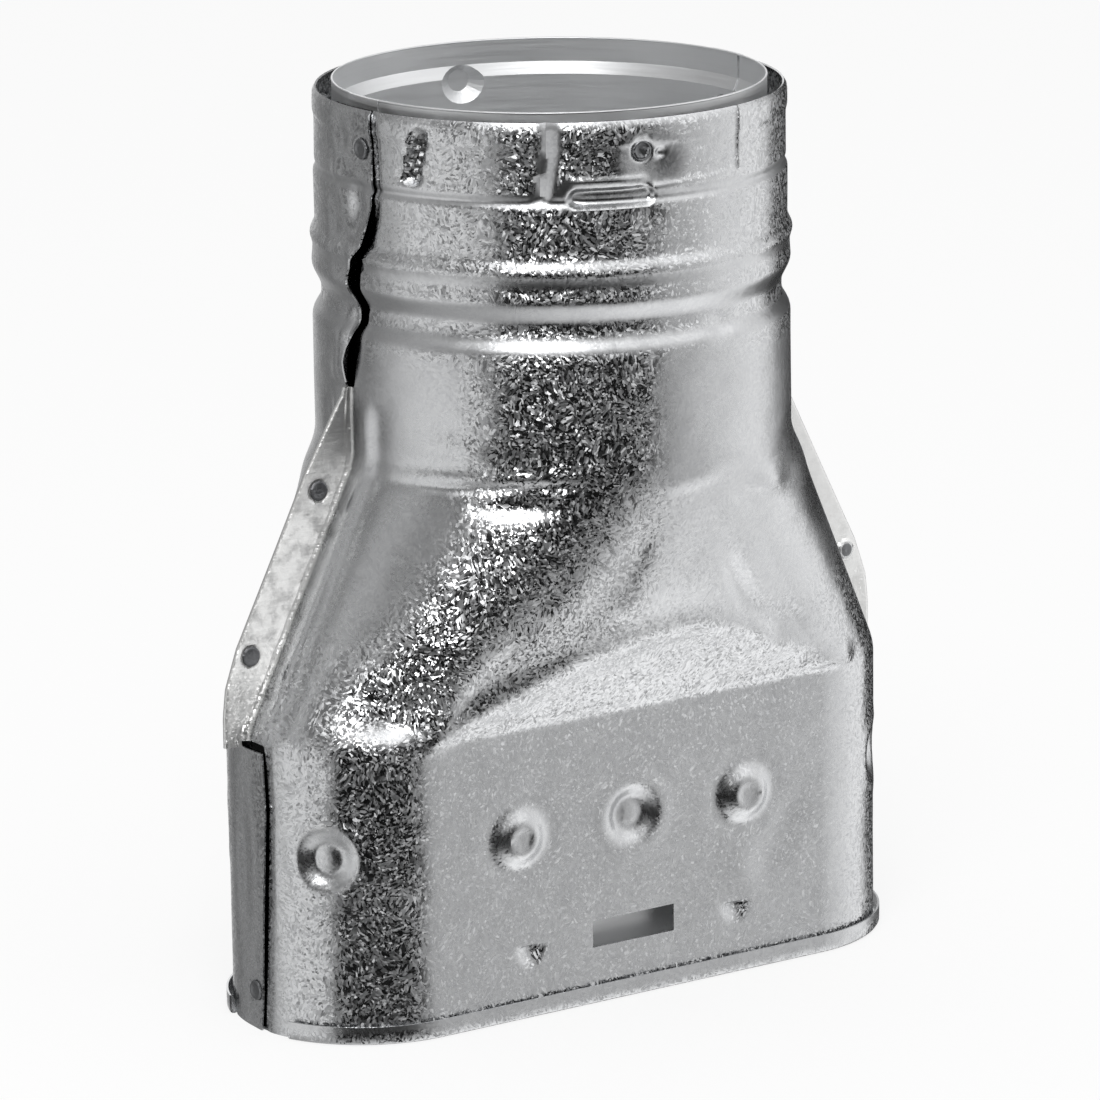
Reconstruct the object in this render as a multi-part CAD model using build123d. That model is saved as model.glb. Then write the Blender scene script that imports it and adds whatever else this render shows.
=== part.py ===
from build123d import *
from math import cos, radians, sin, tan
import os

# Oval to round adapter for a double-wall gas vent, in millimetres.
# X runs along the oval's long axis, the front faces -Y and Z points up.
# The origin lies under the middle of the oval, at the height of its lower hem.
# The outer casing is two galvanised stampings of one shape: the rear one is the
# front one turned half round. The aluminium liner inside is made the same way.

# Sheets and fits
CASING_SHEET = 0.46
LINER_SHEET = 0.36
SHEET_GAP = 0.06

# Heights on the casing
HEM_HEIGHT = 4.6
CREASE_Z = 73.0
ARCH_Z = 98.5
COLLAR_Z = 136.0
CASING_TOP_Z = 221.4

# Oval end of the casing
OVAL_CENTRES = 56.0
OVAL_RADIUS = 33.0
HEM_OUT = 1.6

# Round end of the casing, from the transition up
LOWER_R = 57.9
GROOVE_R = 55.7
BAND_R = 58.0
COLLAR_R = 57.15
NECK_R = 56.75
GROOVE_FOOT_Z = 166.7
GROOVE_LOW_Z = 170.1
GROOVE_HIGH_Z = 173.9
GROOVE_HEAD_Z = 178.4
BEAD_Z = 186.6
BEAD_TALL = 2.4
BEAD_OUT = 0.7
STEP_Z = 203.0
STEP_TALL = 1.4
STEP_OUT = 0.2
RIM_BAND_Z = 215.3

# Transition between the two ends
FRONT_HALF_ANGLE = 17.0
BELLY = 4.8
SHOULDER_TILT = 31.0

# Side joints of the casing: laps at both ends and a folded fin between them
LAP_UNDER = 7.5
LAP_JOGGLE = 10.6
LAP_SLIT = 0.2
HEM_LEFT_END = 13.0
HEM_RIGHT_END = 10.5
FIN_LOW_Z = 70.6
FIN_TOP_Z = 154.0
FIN_NOTCH = 0.7
FIN_TOP_X = 59.4
FIN_KNEE_X = 91.2
FIN_KNEE_Z = 95.3
FIN_FOOT_X = 95.2
FIN_FOOT_Z = 84.0
FIN_ROOT_GAP = 1.6

# Pressed joints that hold the sheets together
JOINT_R = 2.7
JOINT_DEEP = 0.9
COLLAR_JOINT_Z = 212.0
OVAL_JOINT_Z = 9.6
FIN_JOINTS = ((67.6, 129.9), (87.4, 92.2))
LINER_JOINT_Z = 210.0

# Dish that ties the casing to the liner, front and rear
DISH_ANGLE = -8.5
DISH_Z = 213.2
DISH_MOUTH_R = 5.8
DISH_FLOOR_R = 3.1
DISH_DEEP = 2.4

# Lock channels pressed into the collar
CHANNEL_DEEP = 1.1
CHANNEL_WIDE = 4.8
CHANNEL_ANGLE = -33.5
CHANNEL_LOW_Z = 200.6
HOOK_FROM = -27.5
HOOK_TO = -11.0
HOOK_Z = 202.2
HOOK_TALL = 4.6
POCKET_ANGLE = -68.0
POCKET_WIDE = 5.4
POCKET_LOW_Z = 205.0
POCKET_HIGH_Z = 219.0
NIB_ANGLE = 17.0
NIB_WIDE = 1.4
NIB_DEEP = 0.6

# Dimples, lances and slot of the oval end
DIMPLE_X = 33.0
DIMPLE_Z = 45.4
DIMPLE_MOUTH_R = 8.0
DIMPLE_FLOOR_R = 4.2
DIMPLE_DEEP = 2.4
DIMPLE_RUN_ON = 1.0
END_DIMPLE_ANGLE = 48.0
LANCE_X = 30.2
LANCE_TOP_Z = 18.0
LANCE_R = 4.8
LANCE_TALL = 7.4
LANCE_OUT = 2.0
SLOT_LONG = 24.0
SLOT_TALL = 6.8
SLOT_Z = 17.2

# Liner
LINER_TOP_Z = 223.2
LINER_BOTTOM_Z = 3.0
LINER_R = 51.1
LINER_RIM_R = 52.4
LINER_FLARE_LOW_Z = 214.2
LINER_FLARE_HIGH_Z = 217.2
LINER_ROUND_Z = 133.0
LINER_OVAL_Z = 76.0
LINER_OVAL_RADIUS = 27.0
LINER_LAP_UNDER = 5.0
LINER_LAP_START = 6.5
LINER_LAP_OVER = 6.0

# Small pressed rounds have flats, as close to a circle as a mesh of them would be
JOINT_SIDES = 16
DIMPLE_SIDES = 24

# Half the space that every cutting block spans, well past the adapter
FAR = 150.0


def block(x0, x1, y0, y1, z0, z1):
    """A plain box between two corners."""
    size = Box(x1 - x0, y1 - y0, z1 - z0)
    return Pos((x0 + x1) / 2, (y0 + y1) / 2, (z0 + z1) / 2) * size


def outward(angle, x=0.0, z=0.0):
    """A place on the axis, with local Z pointing out of the front at an angle."""
    direction = (sin(radians(angle)), -cos(radians(angle)), 0)
    return Location(Plane(origin=(x, 0, z), x_dir=(0, 0, 1), z_dir=direction))


def round_bar(radius, tall, sides=JOINT_SIDES):
    """A small round bar that stands on the XY plane."""
    return extrude(RegularPolygon(radius, sides), tall)


def round_taper(radius, far_radius, tall, sides=DIMPLE_SIDES):
    """A small round taper that stands on the XY plane."""
    ends = [RegularPolygon(radius, sides), Pos(0, 0, tall) * RegularPolygon(far_radius, sides)]
    return loft(ends, ruled=True)


def radial_round(angle, z, radius, near, far, x=0.0, far_radius=None):
    """A round bar or taper that points out from the axis, between two distances."""
    if far_radius is None:
        bar = round_bar(radius, far - near)
    else:
        bar = round_taper(radius, far_radius, far - near)
    return outward(angle, x, z) * Pos(0, 0, near) * bar


def round_section(z, centres, radius, open_angle, belly):
    """A closed outline of two end arcs and two front and rear arcs."""
    across = centres + radius * sin(radians(open_angle))
    deep = radius * cos(radians(open_angle))
    crown = radius + belly
    end = centres + radius
    if crown > deep:
        front = ThreePointArc((-across, -deep, z), (0, -crown, z), (across, -deep, z))
        rear = ThreePointArc((across, deep, z), (0, crown, z), (-across, deep, z))
    else:
        front = Line((-across, -deep, z), (across, -deep, z))
        rear = Line((across, deep, z), (-across, deep, z))
    right = ThreePointArc((across, -deep, z), (end, 0, z), (across, deep, z))
    left = ThreePointArc((-across, deep, z), (-end, 0, z), (-across, -deep, z))
    return Face(Wire([front, right, rear, left]))


def oval_block(inset, z0, z1, radius=OVAL_RADIUS):
    """A straight length of the oval, inset from the casing's outer face."""
    outline = SlotCenterToCenter(2 * OVAL_CENTRES, 2 * (radius - inset))
    return Pos(0, 0, z0) * extrude(outline, z1 - z0)


def collar_block(inset):
    """The round end: a revolved profile with its groove, bead, step and rim band."""
    half_bead = BEAD_TALL / 2
    half_step = STEP_TALL / 2
    profile = [
        (LOWER_R, COLLAR_Z),
        (LOWER_R, GROOVE_FOOT_Z),
        (GROOVE_R, GROOVE_LOW_Z),
        (GROOVE_R, GROOVE_HIGH_Z),
        (BAND_R, GROOVE_HEAD_Z),
        (BAND_R, BEAD_Z - half_bead),
        (BAND_R + BEAD_OUT, BEAD_Z),
        (COLLAR_R, BEAD_Z + half_bead),
        (COLLAR_R, STEP_Z - half_step),
        (COLLAR_R + STEP_OUT, STEP_Z),
        (NECK_R, STEP_Z + half_step),
        (NECK_R, RIM_BAND_Z),
        (COLLAR_R, RIM_BAND_Z + 0.5),
        (COLLAR_R, CASING_TOP_Z + 1),
    ]
    points = [(0, COLLAR_Z)] + [(r - inset, z) for r, z in profile] + [(0, CASING_TOP_Z + 1)]
    outline = Plane.YZ * make_face(Polyline(points, close=True))
    return revolve(outline, Axis.Z)


def transition_block(inset):
    """The lofted length between the round end and the oval end."""
    share = (COLLAR_Z - ARCH_Z) / (COLLAR_Z - CREASE_Z)
    arch_radius = LOWER_R + (OVAL_RADIUS - LOWER_R) * share
    arch_angle = FRONT_HALF_ANGLE * (1 - share)
    body = loft([
        round_section(COLLAR_Z, 0, LOWER_R - inset, FRONT_HALF_ANGLE, 0),
        round_section(ARCH_Z, OVAL_CENTRES * share, arch_radius - inset, arch_angle, BELLY),
        round_section(CREASE_Z, OVAL_CENTRES, OVAL_RADIUS - inset, 0, BELLY),
    ], ruled=True)
    # The shoulder under the arch slopes back to the flat of the oval.
    reach = FAR * tan(radians(SHOULDER_TILT))
    deep = OVAL_RADIUS - inset
    wedge = make_face(Polyline([
        (-deep, CREASE_Z), (-deep - reach, CREASE_Z + FAR),
        (-deep - reach - FAR, CREASE_Z + FAR), (-FAR, CREASE_Z - 1), (-deep, CREASE_Z - 1),
    ], close=True))
    front = extrude(Plane.YZ * wedge, FAR, both=True)
    return body - front - Rot(0, 0, 180) * front


def dimple(angle, x, z, face, inset, mouth, floor, deep, raised=False):
    """A round dimple, as the cone to cut (or to add) at one offset of the sheet.

    The cone runs on past the curved face, so that it meets it all round.
    """
    wider = mouth + (mouth - floor) / deep * DIMPLE_RUN_ON
    if raised:
        return radial_round(angle, z, wider - inset, face - DIMPLE_RUN_ON - inset,
                            face + deep - inset, x, floor - inset)
    return radial_round(angle, z, floor + inset, face - deep - inset,
                        face + DIMPLE_RUN_ON - inset, x, wider + inset)


def half_moon(y, wide, tall):
    """A half oval in a plane across Y, with its straight side up."""
    turns = [radians(180 + 15 * step) for step in range(13)]
    return make_face(Polyline([(wide * cos(a), y, tall * sin(a)) for a in turns], close=True))


def lance(inset):
    """A lance in the front wall, as the solid to add at one offset of the sheet."""
    face = -OVAL_RADIUS + inset
    return loft([
        half_moon(face + 1, LANCE_R - inset, LANCE_TALL - inset),
        half_moon(face, LANCE_R - inset, LANCE_TALL - inset),
        half_moon(face - LANCE_OUT, 0.6 * LANCE_R - inset, 0.5 * LANCE_TALL - inset),
    ], ruled=True)


def collar_features(inset):
    """Everything pressed into the front of the collar, as one solid to cut."""
    near = NECK_R - CHANNEL_DEEP - inset
    wide = CHANNEL_WIDE + 2 * inset
    # Long channel from the rim, with a round foot
    foot_z = CHANNEL_LOW_Z + CHANNEL_WIDE / 2
    tall = CASING_TOP_Z + 2 - foot_z
    channel = outward(CHANNEL_ANGLE, 0, foot_z) * (
        block(0, tall, -wide / 2, wide / 2, near, FAR)
    )
    foot = radial_round(CHANNEL_ANGLE, foot_z, wide / 2, near, FAR)
    # Hook: a short groove round the collar that starts and ends half round
    hook_tall = HOOK_TALL + 2 * inset
    ring = Cylinder(FAR, hook_tall) - Cylinder(near, hook_tall)
    slice_angle = HOOK_TO - HOOK_FROM
    sector = Pos(0, 0, HOOK_Z) * (ring & pie(HOOK_FROM, slice_angle, hook_tall))
    hook_from = radial_round(HOOK_FROM, HOOK_Z, hook_tall / 2, near, FAR)
    hook_to = radial_round(HOOK_TO, HOOK_Z, hook_tall / 2, near, FAR)
    # Short pocket beside the left lap
    pocket_wide = POCKET_WIDE + 2 * inset
    pocket = outward(POCKET_ANGLE, 0, POCKET_LOW_Z - inset) * (
        block(0, POCKET_HIGH_Z - POCKET_LOW_Z + 2 * inset, -pocket_wide / 2, pocket_wide / 2,
              near, FAR)
    )
    # Narrow nib line on the right
    nib_wide = NIB_WIDE + 2 * inset
    nib = outward(NIB_ANGLE, 0, STEP_Z + STEP_TALL) * (
        block(0, FAR, -nib_wide / 2, nib_wide / 2, NECK_R - NIB_DEEP - inset, FAR)
    )
    dish = dimple(DISH_ANGLE, 0, DISH_Z, NECK_R, inset, DISH_MOUTH_R, DISH_FLOOR_R, DISH_DEEP)
    return [channel, foot, sector, hook_from, hook_to, pocket, nib, dish]


def pie(start, sweep, tall):
    """A wedge from the axis, between two angles measured from the front."""
    a0 = radians(start)
    a1 = radians(start + sweep)
    tip = make_face(Polyline([
        (0, 0), (2 * FAR * sin(a0), -2 * FAR * cos(a0)), (2 * FAR * sin(a1), -2 * FAR * cos(a1)),
    ], close=True))
    return extrude(tip, tall / 2, both=True)


def lap_joints(inset):
    """Joints pressed inwards through the casing's two side laps, as solids to cut."""
    tools = []
    for side in (-90, 90):
        for face, z in ((NECK_R, COLLAR_JOINT_Z), (OVAL_CENTRES + OVAL_RADIUS, OVAL_JOINT_Z)):
            near = face - JOINT_DEEP - inset
            tools.append(radial_round(side, z, JOINT_R + inset, near, FAR))
    return tools


def casing_block(inset):
    """The casing's whole outer form as a solid, inset by part of a sheet."""
    body = oval_block(inset, -1, CREASE_Z) + transition_block(inset) + collar_block(inset)
    # Dimples that stand out from the front
    for x in (-DIMPLE_X, DIMPLE_X):
        body += dimple(0, x, DIMPLE_Z, OVAL_RADIUS, inset, DIMPLE_MOUTH_R, DIMPLE_FLOOR_R,
                       DIMPLE_DEEP, raised=True)
    # Half-round lances, sheared along their upper edge
    for x in (-LANCE_X, LANCE_X):
        body += Pos(x, 0, LANCE_TOP_Z) * lance(inset)
    cuts = collar_features(inset)
    cuts += lap_joints(inset)
    # Dimples that go in: one in the middle of the front and one round each end
    places = ((0, 0), (-END_DIMPLE_ANGLE, -OVAL_CENTRES), (END_DIMPLE_ANGLE, OVAL_CENTRES))
    for angle, x in places:
        cuts.append(dimple(angle, x, DIMPLE_Z, OVAL_RADIUS, inset, DIMPLE_MOUTH_R,
                           DIMPLE_FLOOR_R, DIMPLE_DEEP))
    return body - cuts


def yz_region(points, x0, x1):
    """A prism along X over an outline given as (y, z) points."""
    outline = Plane.YZ * make_face(Polyline(points, close=True))
    return Pos(x0, 0, 0) * extrude(outline, x1 - x0)


def fin_outline(edge_in=0.0):
    """The right-hand fin seen from the front, as a face in the XZ plane."""
    slope = (FIN_KNEE_X - FIN_TOP_X) / (FIN_TOP_Z - FIN_KNEE_Z)
    top_x = FIN_TOP_X - edge_in
    knee_x = FIN_KNEE_X - edge_in
    foot_x = FIN_FOOT_X - edge_in
    root_top = LOWER_R - 6
    root_low = OVAL_CENTRES + OVAL_RADIUS - 6
    points = [
        (root_top, FIN_TOP_Z), (top_x, FIN_TOP_Z), (knee_x, FIN_KNEE_Z),
        (foot_x, FIN_FOOT_Z), (foot_x, FIN_LOW_Z), (root_low, FIN_LOW_Z),
        (root_low - slope * 4, CREASE_Z + 4), (root_top, COLLAR_Z),
    ]
    return make_face(Polyline(points, close=True))


def plate(outline, y0, y1):
    """A flat layer of a fin between two depths."""
    return Pos(0, y0, 0) * extrude(Plane.XZ * outline, -(y1 - y0))


def fin_joint(x, z, y0, level, towards):
    """One layer of a pressed joint in a fin: the hole to cut and the cup to add."""
    radius = JOINT_R + level * (CASING_SHEET + SHEET_GAP)
    turn = Rot(-90 * towards, 0, 0)
    hole = Pos(x, y0 - 0.01 * towards, z) * turn * round_bar(radius, JOINT_DEEP + 0.01)
    cup = Pos(x, y0, z) * turn * round_bar(radius + CASING_SHEET, JOINT_DEEP + CASING_SHEET)
    return hole, cup


def casing_half():
    """The front stamping, with its plain left edge and its folded right edge."""
    skin = casing_block(0)
    hollow = casing_block(CASING_SHEET)
    under_out = casing_block(CASING_SHEET + SHEET_GAP)
    under_in = casing_block(2 * CASING_SHEET + SHEET_GAP)
    sheet = skin - hollow
    half = CASING_SHEET / 2
    low = FIN_LOW_Z - FIN_NOTCH
    top = FIN_TOP_Z + FIN_NOTCH

    # Main wall: short of the laps, and up to the middle where the fins are
    main = sheet & (
        block(-FAR, 0, -FAR, -LAP_JOGGLE, 0, CASING_TOP_Z)
        + block(-FAR, 0, -FAR, half, low, top)
        + block(0, FAR, -FAR, -half - SHEET_GAP, 0, CASING_TOP_Z)
    )
    # Right lap: the wall runs on past the middle to a wavy edge, flush outside
    strip = sheet & (
        yz_region([(-1, 0), (4.2, 0), (7.6, 55), (6.9, low - LAP_SLIT), (-1, low - LAP_SLIT)],
                  0, FAR)
        + yz_region([(-1, top + LAP_SLIT), (-0.9, top + LAP_SLIT), (-0.6, 163), (2.6, 173),
                     (1.4, 181), (5.6, 189), (9.4, 199), (8.4, CASING_TOP_Z),
                     (-1, CASING_TOP_Z)], 0, FAR)
    )
    # Left lap: the wall steps in by one sheet and lies under the other half's edge
    under = (under_out - under_in) & (
        block(-FAR, 0, -LAP_JOGGLE - 0.5, LAP_UNDER, 0, low)
        + block(-FAR, 0, -LAP_JOGGLE - 0.5, LAP_UNDER, top, CASING_TOP_Z)
    )
    step = (skin - under_in) & (
        block(-FAR, 0, -LAP_JOGGLE - 0.5, -LAP_JOGGLE, 0, low)
        + block(-FAR, 0, -LAP_JOGGLE - 0.5, -LAP_JOGGLE, top, CASING_TOP_Z)
    )
    body = main + strip + under + step

    # Left flange: one flat layer that lies inside the other half's fold
    inner = fin_outline(edge_in=1.0 + SHEET_GAP)
    flange = mirror(plate(inner, -half, half), Plane.YZ) - skin_core(half)
    body += flange
    # Right flange: out, round the edge and back
    near = half + SHEET_GAP
    far = near + CASING_SHEET
    body += plate(fin_outline(), -far, -near) - skin_core(half)
    body += plate(fin_outline(), near, far) - skin_core(-FIN_ROOT_GAP)
    edge = plate(fin_outline(), -far, far) - plate(fin_outline(edge_in=CASING_SHEET), -FAR, FAR)
    body += edge & fin_edge_zone()

    # Pressed joints through the fins
    for x, z in FIN_JOINTS:
        hole, cup = fin_joint(-x, z, -half, 1, 1)
        body = (body + cup) - hole
        hole, cup = fin_joint(x, z, far, 0, -1)
        body = body + cup
        deep_hole, deep_cup = fin_joint(x, z, -near, 2, -1)
        body = (body + deep_cup) - deep_hole - hole

    # Open hem along the bottom edge
    hem_out = oval_block(-HEM_OUT, 0, HEM_HEIGHT)
    hem_in = oval_block(-HEM_OUT + CASING_SHEET, CASING_SHEET, HEM_HEIGHT)
    wall = oval_block(CASING_SHEET, 0, HEM_HEIGHT)
    hem_fill = oval_block(0, CASING_SHEET, HEM_HEIGHT)
    hem = (hem_out - hem_in - wall) + (hem_fill - wall)
    body += hem & (block(-FAR, 0, -FAR, -HEM_LEFT_END, 0, HEM_HEIGHT)
                   + block(0, FAR, -FAR, -HEM_RIGHT_END, 0, HEM_HEIGHT))

    # Slot through the front
    body -= Pos(0, -OVAL_RADIUS, SLOT_Z) * Box(SLOT_LONG, 8, SLOT_TALL)
    return body


def skin_core(inset):
    """The plain inside of the transition, used to trim the fins at their roots."""
    return (transition_block(inset) + oval_block(inset, 0, CREASE_Z)
            + Pos(0, 0, COLLAR_Z) * Cylinder(LOWER_R - inset, 40,
                                             align=(Align.CENTER, Align.CENTER, Align.MIN)))


def fin_edge_zone():
    """The space along the fin's outer edge, which its upper and lower cuts stop."""
    return block(FIN_TOP_X, FAR, -FAR, FAR, FIN_LOW_Z, FIN_TOP_Z) - skin_core(-FIN_ROOT_GAP)


def liner_block(inset):
    """The liner's outer form as a solid, inset by part of a sheet."""
    profile = [
        (LINER_R, LINER_ROUND_Z), (LINER_R, LINER_FLARE_LOW_Z),
        (LINER_RIM_R, LINER_FLARE_HIGH_Z), (LINER_RIM_R, LINER_TOP_Z + 1),
    ]
    points = [(0, LINER_ROUND_Z)] + [(r - inset, z) for r, z in profile] + [(0, LINER_TOP_Z + 1)]
    round_end = revolve(Plane.YZ * make_face(Polyline(points, close=True)), Axis.Z)
    middle = loft([
        round_section(LINER_ROUND_Z, 0, LINER_R - inset, FRONT_HALF_ANGLE, 0),
        round_section(LINER_OVAL_Z, OVAL_CENTRES, LINER_OVAL_RADIUS - inset, 0, 0),
    ], ruled=True)
    oval_end = oval_block(inset, LINER_BOTTOM_Z - 1, LINER_OVAL_Z, LINER_OVAL_RADIUS)
    body = round_end + middle + oval_end
    # Boss that meets the casing's dish
    reach = NECK_R - DISH_DEEP - CASING_SHEET - SHEET_GAP - LINER_R
    body += dimple(DISH_ANGLE, 0, DISH_Z, LINER_R, inset, DISH_MOUTH_R, DISH_FLOOR_R, reach,
                   raised=True)
    # Joints pressed outwards through the two side laps, clear of the flue way
    for side in (-90, 90):
        body += radial_round(side, LINER_JOINT_Z, JOINT_R + LINER_SHEET - inset,
                             LINER_R - DIMPLE_RUN_ON - inset, LINER_R + JOINT_DEEP - inset)
    return body


def liner_half():
    """The front half of the liner, lapped like the casing."""
    skin = liner_block(0)
    hollow = liner_block(LINER_SHEET)
    over_in = liner_block(-SHEET_GAP)
    over_out = liner_block(-SHEET_GAP - LINER_SHEET)
    main = (skin - hollow) & (
        block(-FAR, 0, -FAR, LINER_LAP_UNDER, LINER_BOTTOM_Z, LINER_TOP_Z)
        + block(0, FAR, -FAR, -LINER_LAP_START, LINER_BOTTOM_Z, LINER_TOP_Z)
    )
    edge = -LINER_LAP_START - 0.4
    strip = (over_out - over_in) & block(0, FAR, edge, LINER_LAP_OVER, LINER_BOTTOM_Z,
                                         LINER_TOP_Z)
    step = (over_out - hollow) & block(0, FAR, edge, -LINER_LAP_START, LINER_BOTTOM_Z,
                                       LINER_TOP_Z)
    return main + strip + step


casing_front = casing_half()
casing_rear = Rot(0, 0, 180) * casing_front
liner_front = liner_half()
liner_rear = Rot(0, 0, 180) * liner_front

os.makedirs("parts", exist_ok=True)
export_step(casing_front, "parts/casing_front.step")
export_step(casing_rear, "parts/casing_rear.step")
export_step(liner_front, "parts/liner_front.step")
export_step(liner_rear, "parts/liner_rear.step")
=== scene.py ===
from math import atan2, cos, pi, radians, sin, tan

import bmesh
import bpy
import numpy as np
from mathutils import Matrix, Vector


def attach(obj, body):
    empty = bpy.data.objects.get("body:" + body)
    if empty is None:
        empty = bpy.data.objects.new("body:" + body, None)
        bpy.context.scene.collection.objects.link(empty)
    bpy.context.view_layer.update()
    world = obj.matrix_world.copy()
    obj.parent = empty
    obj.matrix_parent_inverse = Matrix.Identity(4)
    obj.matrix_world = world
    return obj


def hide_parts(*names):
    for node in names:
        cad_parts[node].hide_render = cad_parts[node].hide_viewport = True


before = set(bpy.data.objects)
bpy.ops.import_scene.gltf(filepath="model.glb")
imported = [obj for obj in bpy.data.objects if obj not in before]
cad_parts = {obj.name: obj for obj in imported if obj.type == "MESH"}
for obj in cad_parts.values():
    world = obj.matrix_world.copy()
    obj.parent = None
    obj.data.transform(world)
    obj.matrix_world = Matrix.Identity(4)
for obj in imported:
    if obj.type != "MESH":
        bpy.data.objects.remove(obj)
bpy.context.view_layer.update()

MM = 0.001

# Casing half. One galvanised steel stamping makes the front of the casing, and the same
# stamping turned half round makes the rear. It is pressed from a flat blank, its bottom edge
# is hemmed, and its right edge is folded over the other half's flange.
SHEET = 0.46
LAP_STEP = 0.54
LEFT_LAP = 7.5
OVAL_CENTRES = 56.0
OVAL_RADIUS = 33.0
CREASE_Z = 73.0
SHOULDER_LEAN = radians(31)
SHOULDER_TOP_Z = 132.0
COLLAR_Z = 190.0
TOP_Z = 221.4
FIN_LOW_Z = 70.6
FIN_TOP_Z = 154.0
FOLD_RADIUS = 0.75
FLANGE_FACE = 0.23
FLANGE_SHORT = 1.1
SLIT = 0.9
SEAM_BEND = 1.8
HEM_OUT = 1.6
HEM_TALL = 4.6
HEM_FOOT = 1.03
SLOT_HALF = 12.0
SLOT_LOW_Z = 13.8
SLOT_HIGH_Z = 20.6
LANCE_X = 30.2
LANCE_HALF = 4.6
LANCE_TALL = 6.8
LANCE_TOP_Z = 18.0
LANCE_DEEP = 1.6
# Painted shade: the gap beside each lap is darkened past this level of its mask, and the torn
# pocket takes a level a little past it
GAP_SHADE_EDGE = 3.0
POCKET_PAINTED_SHADE = 3.14

# Each profile of the die is a list of heights and values, with its corners rounded
CENTRE_KNOTS = ((0, 56), (73, 56), (136, 0), (230, 0))
RADIUS_KNOTS = (
    (0, 33), (73, 33), (98.5, 43.08), (136, 57.9), (166.7, 57.9), (170.1, 55.7),
    (173.9, 55.7), (178.4, 58.0), (183.2, 57.6), (185.8, 58.4), (186.8, 58.1), (188.8, 57.1),
    (201.2, 57.25), (202.6, 56.45), (204.0, 56.9), (214.4, 56.85), (216.0, 57.2),
    (220.2, 57.15), (221.4, 56.35), (230, 56.35),
)
OPEN_KNOTS = ((0, 0), (73, 0), (98.5, 6.9), (136, 17), (230, 17))
BELLY_KNOTS = ((0, 4.8), (98.5, 4.8), (136, 0), (230, 0))
ROUNDING_KNOTS = (
    (0, 2.0), (60, 2.0), (73, 2.6), (86, 7), (118, 7), (134, 3.2), (150, 2.0), (164, 1.3),
    (182, 1.0), (185, 0.5), (200, 0.4), (206, 0.35), (230, 0.3),
)


def along(z, knots):
    """A profile's value at each height."""
    heights, values = zip(*knots)
    return np.interp(z, heights, values)


def rounded(z, knots):
    """A profile with its corners rounded as the sheet bends."""
    wide = along(z, ROUNDING_KNOTS)
    steps = np.linspace(-1, 1, 13)
    return sum(along(z + wide * step, knots) for step in steps) / len(steps)


def ease(value):
    """0 below 0, 1 above 1 and a smooth run between."""
    value = np.clip(value, 0, 1)
    return value * value * (3 - 2 * value)


def lesser(a, b, blend):
    """The smaller of two values, with a rounded corner where they cross."""
    near = np.maximum(blend - np.abs(a - b), 0) / blend
    return np.minimum(a, b) - near * near * blend / 4


def oval_point(part, z, past):
    """The die's plain face at a part of the way round, from -2 (left seam) to 2 (right seam).

    The front runs from -1 to 1. Past a seam the face goes on round by some mm. Gives x, y, the
    way the face looks and how far round its end a point is.
    """
    centre = rounded(z, CENTRE_KNOTS)
    radius = rounded(z, RADIUS_KNOTS)
    opening = np.radians(rounded(z, OPEN_KNOTS))
    belly = rounded(z, BELLY_KNOTS)
    side = np.where(part < 0, -1.0, 1.0)
    amount = np.abs(part)
    half_wide = centre + radius * np.sin(opening)
    deep = radius * np.cos(opening)
    rise = np.maximum(radius + belly - deep, 1e-4)
    arc_radius = (half_wide ** 2 + rise ** 2) / (2 * rise)
    x = np.minimum(amount, 1) * half_wide
    depth = deep - arc_radius + rise + np.sqrt(np.maximum(arc_radius ** 2 - x ** 2, 0))
    # The shoulder slopes back from the arch to the flat of the oval
    above = z - CREASE_Z
    run = 0.5 * (above + np.sqrt(above ** 2 + 3.0))
    shoulder = OVAL_RADIUS + tan(SHOULDER_LEAN) * run - 0.3 * np.exp(-(above / 2.5) ** 2)
    blend = 0.05 + 5.0 * np.clip(1 - (x / np.maximum(half_wide, 1)) ** 2, 0, 1)
    depth = np.where(z < SHOULDER_TOP_Z, lesser(depth, shoulder, blend), depth)
    turn = opening + (amount - 1) * (pi / 2 - opening) + past / radius
    on_end = amount > 1
    return (side * np.where(on_end, centre + radius * np.sin(turn), x),
            -np.where(on_end, radius * np.cos(turn), depth),
            np.where(on_end, side * np.sin(turn), x / arc_radius * side),
            np.where(on_end, -np.cos(turn), -1.0), turn * side)


def hollow(distance, mouth, floor):
    """How far down a pressing is, from 0 outside its mouth to 1 on its floor."""
    return ease((mouth - distance) / (mouth - floor))


# Where the collar's pressings are: angles are in degrees round from the front, heights in mm
HOOK_Z = 203.4
TIE_ANGLE = -9.0
TIE_Z = 211.0
POCKET_ANGLE = -67.6
POCKET_LEAN = 0.22
POCKET_Z = 211.8


def channel_middle(z):
    """The angle of the lock channel's middle, which leans a little to the left going down."""
    return -33.4 - 2.4 * np.clip((216 - z) / 15, 0, 1.1)


def from_pocket(angle, z, arc, half_wide, half_tall):
    """How far each point is from the core of the torn-edged pocket beside the left lap."""
    across = np.abs((angle - POCKET_ANGLE) * arc - POCKET_LEAN * (z - 211)) - half_wide
    return np.hypot(np.maximum(across, 0), np.maximum(np.abs(z - POCKET_Z) - half_tall, 0))


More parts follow.
